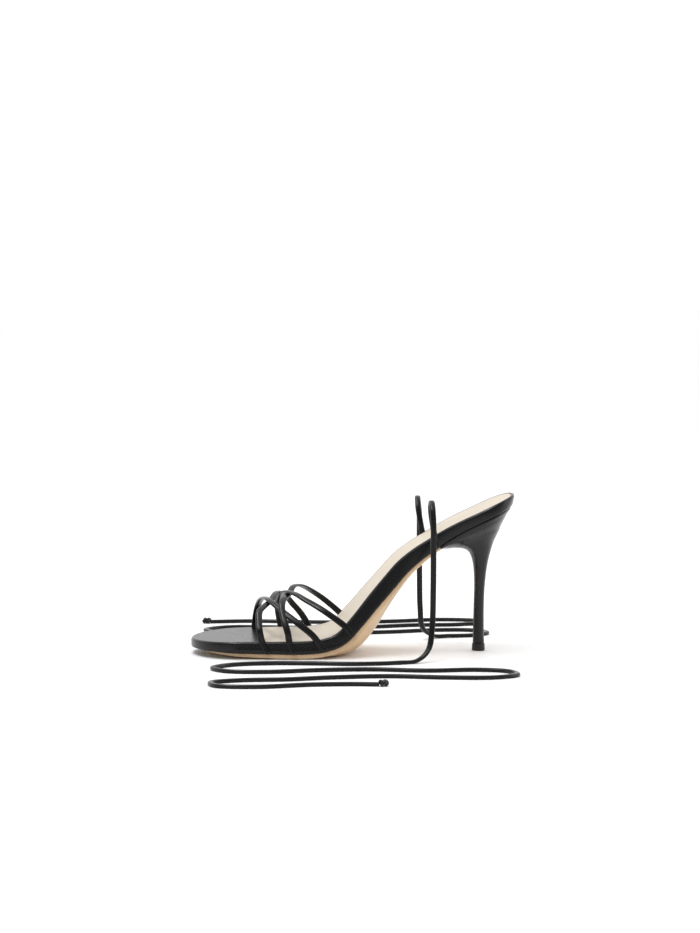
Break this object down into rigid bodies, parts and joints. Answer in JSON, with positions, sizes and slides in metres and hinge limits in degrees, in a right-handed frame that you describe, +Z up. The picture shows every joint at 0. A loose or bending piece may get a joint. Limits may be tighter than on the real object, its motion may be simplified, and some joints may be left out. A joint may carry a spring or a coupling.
{
  "type": "high heel sandal",
  "caption": "Strappy stiletto sandal with an open squared toe, woven vamp straps, a slim covered heel and long ankle ties laid on the floor.",
  "frame": {"origin": "middle of the shoe's footprint box, on the floor, measured without the free ties", "axes": "+Z up; the toe points along -X and the heel along +X; -Y is the outer (lateral) side of this left shoe"},
  "size_m": [0.2138, 0.3112, 0.1047],
  "materials": {
    "black_leather": "satin black wrapped leather",
    "strap_leather": "satin black rolled leather",
    "lining_leather": "matte beige lining",
    "outsole_leather": "smooth tan sole leather",
    "heel_cover": "glossy black cover",
    "top_lift_rubber": "matte black"
  },
  "bodies": {
    "root": {"outsole": "outsole_leather", "footbed": "black_leather", "sock_lining": "lining_leather", "heel": "heel_cover", "top_lift": "top_lift_rubber", "upper": "strap_leather", "tie_anchor_lateral": "strap_leather", "tie_anchor_medial": "strap_leather", "tie_lateral": "strap_leather", "tie_medial": "strap_leather", "tie_knot_lateral": "strap_leather", "tie_knot_medial": "strap_leather"}
  },
  "joints": []
}
